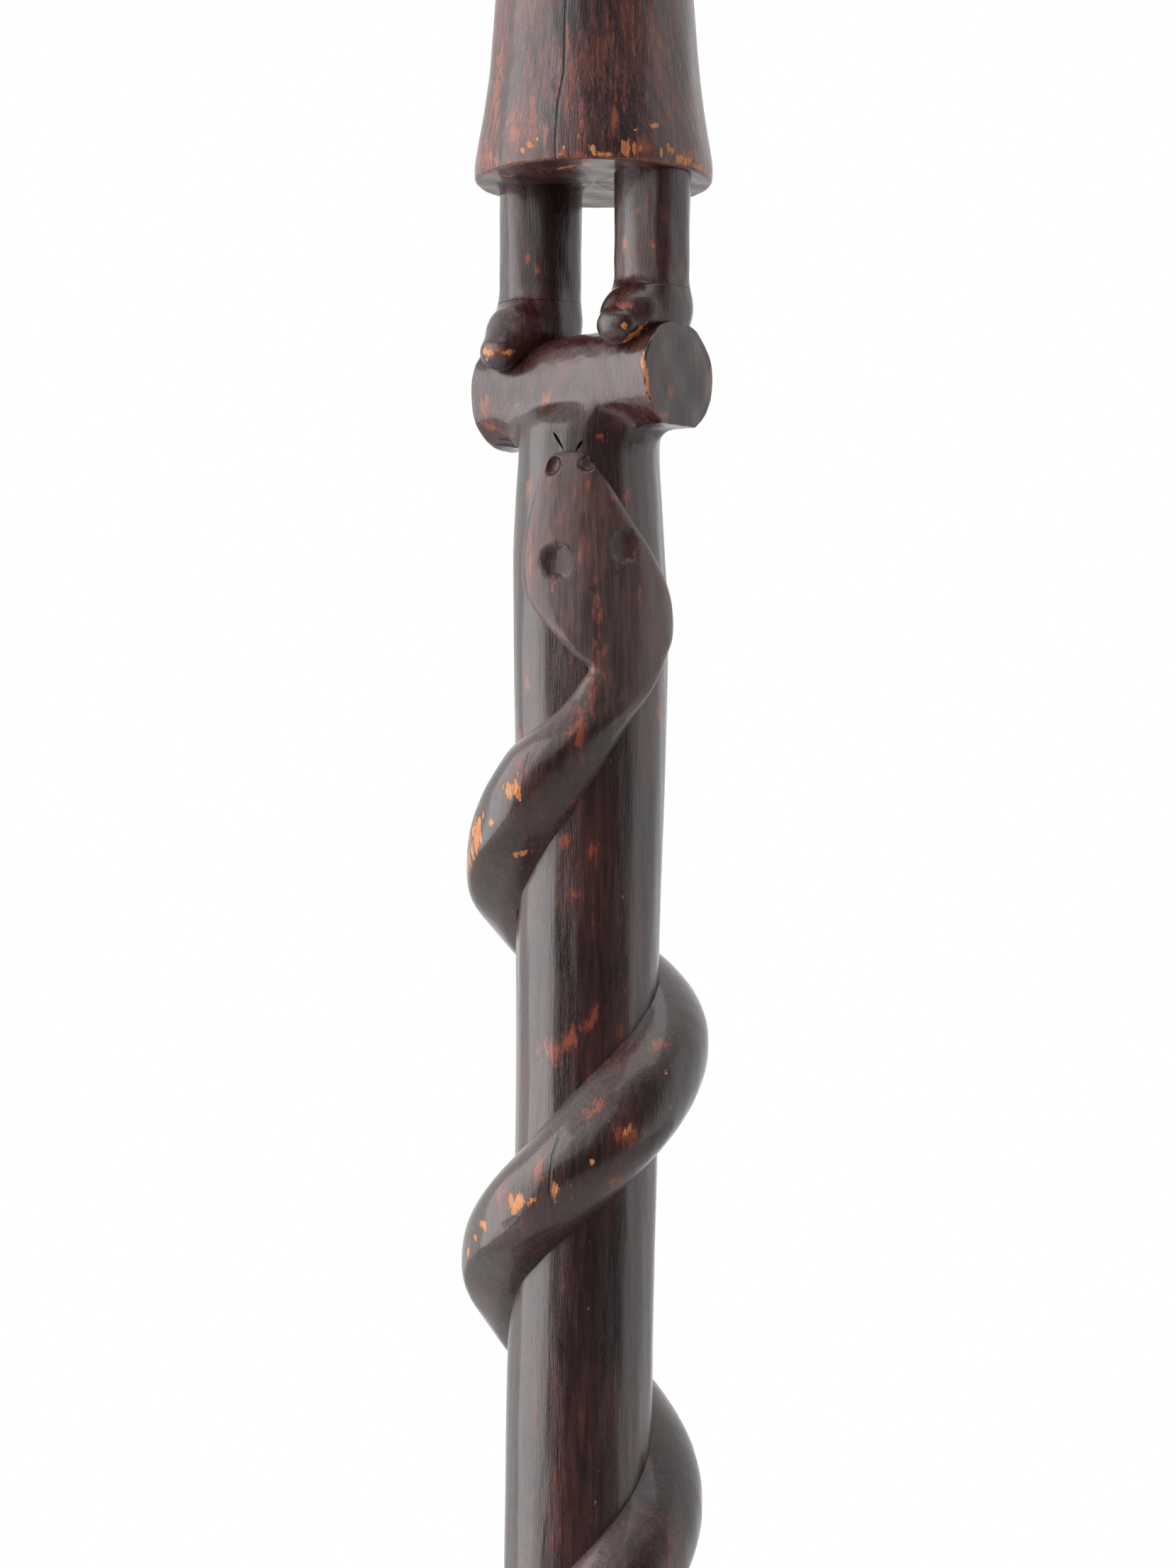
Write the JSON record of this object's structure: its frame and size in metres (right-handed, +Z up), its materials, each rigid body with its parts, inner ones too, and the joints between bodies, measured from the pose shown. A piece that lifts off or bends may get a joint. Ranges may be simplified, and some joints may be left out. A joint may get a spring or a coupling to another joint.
{
  "type": "carved walking stick",
  "caption": "Carved wooden walking stick with a snake winding down the staff, a robed figure on a log as the handle, and a metal ferrule.",
  "frame": {"origin": "centre of the ferrule's flat foot, where the stick meets the ground", "axes": "+Z up along the staff, -Y towards the viewer of the snake's face, +X to that viewer's right"},
  "size_m": [0.0466, 0.0461, 0.8994],
  "materials": {
    "stained_wood": "dark stained hardwood, hand rubbed to a satin polish, worn and chipped",
    "ferrule_metal": "old brass, dull and scratched"
  },
  "bodies": {
    "root": {"shaft": "stained_wood", "snake_head": "stained_wood", "snake_neck": "stained_wood", "snake_upper_coil": "stained_wood", "snake_lower_coil": "stained_wood", "snake_tail": "stained_wood", "log": "stained_wood", "left_foot": "stained_wood", "right_foot": "stained_wood", "left_leg": "stained_wood", "right_leg": "stained_wood", "robe": "stained_wood", "belt": "stained_wood", "torso": "stained_wood", "left_arm": "stained_wood", "right_arm": "stained_wood", "left_hand": "stained_wood", "right_hand": "stained_wood", "head": "stained_wood", "hair": "stained_wood", "ferrule": "ferrule_metal", "ferrule_pin": "ferrule_metal"}
  },
  "joints": []
}
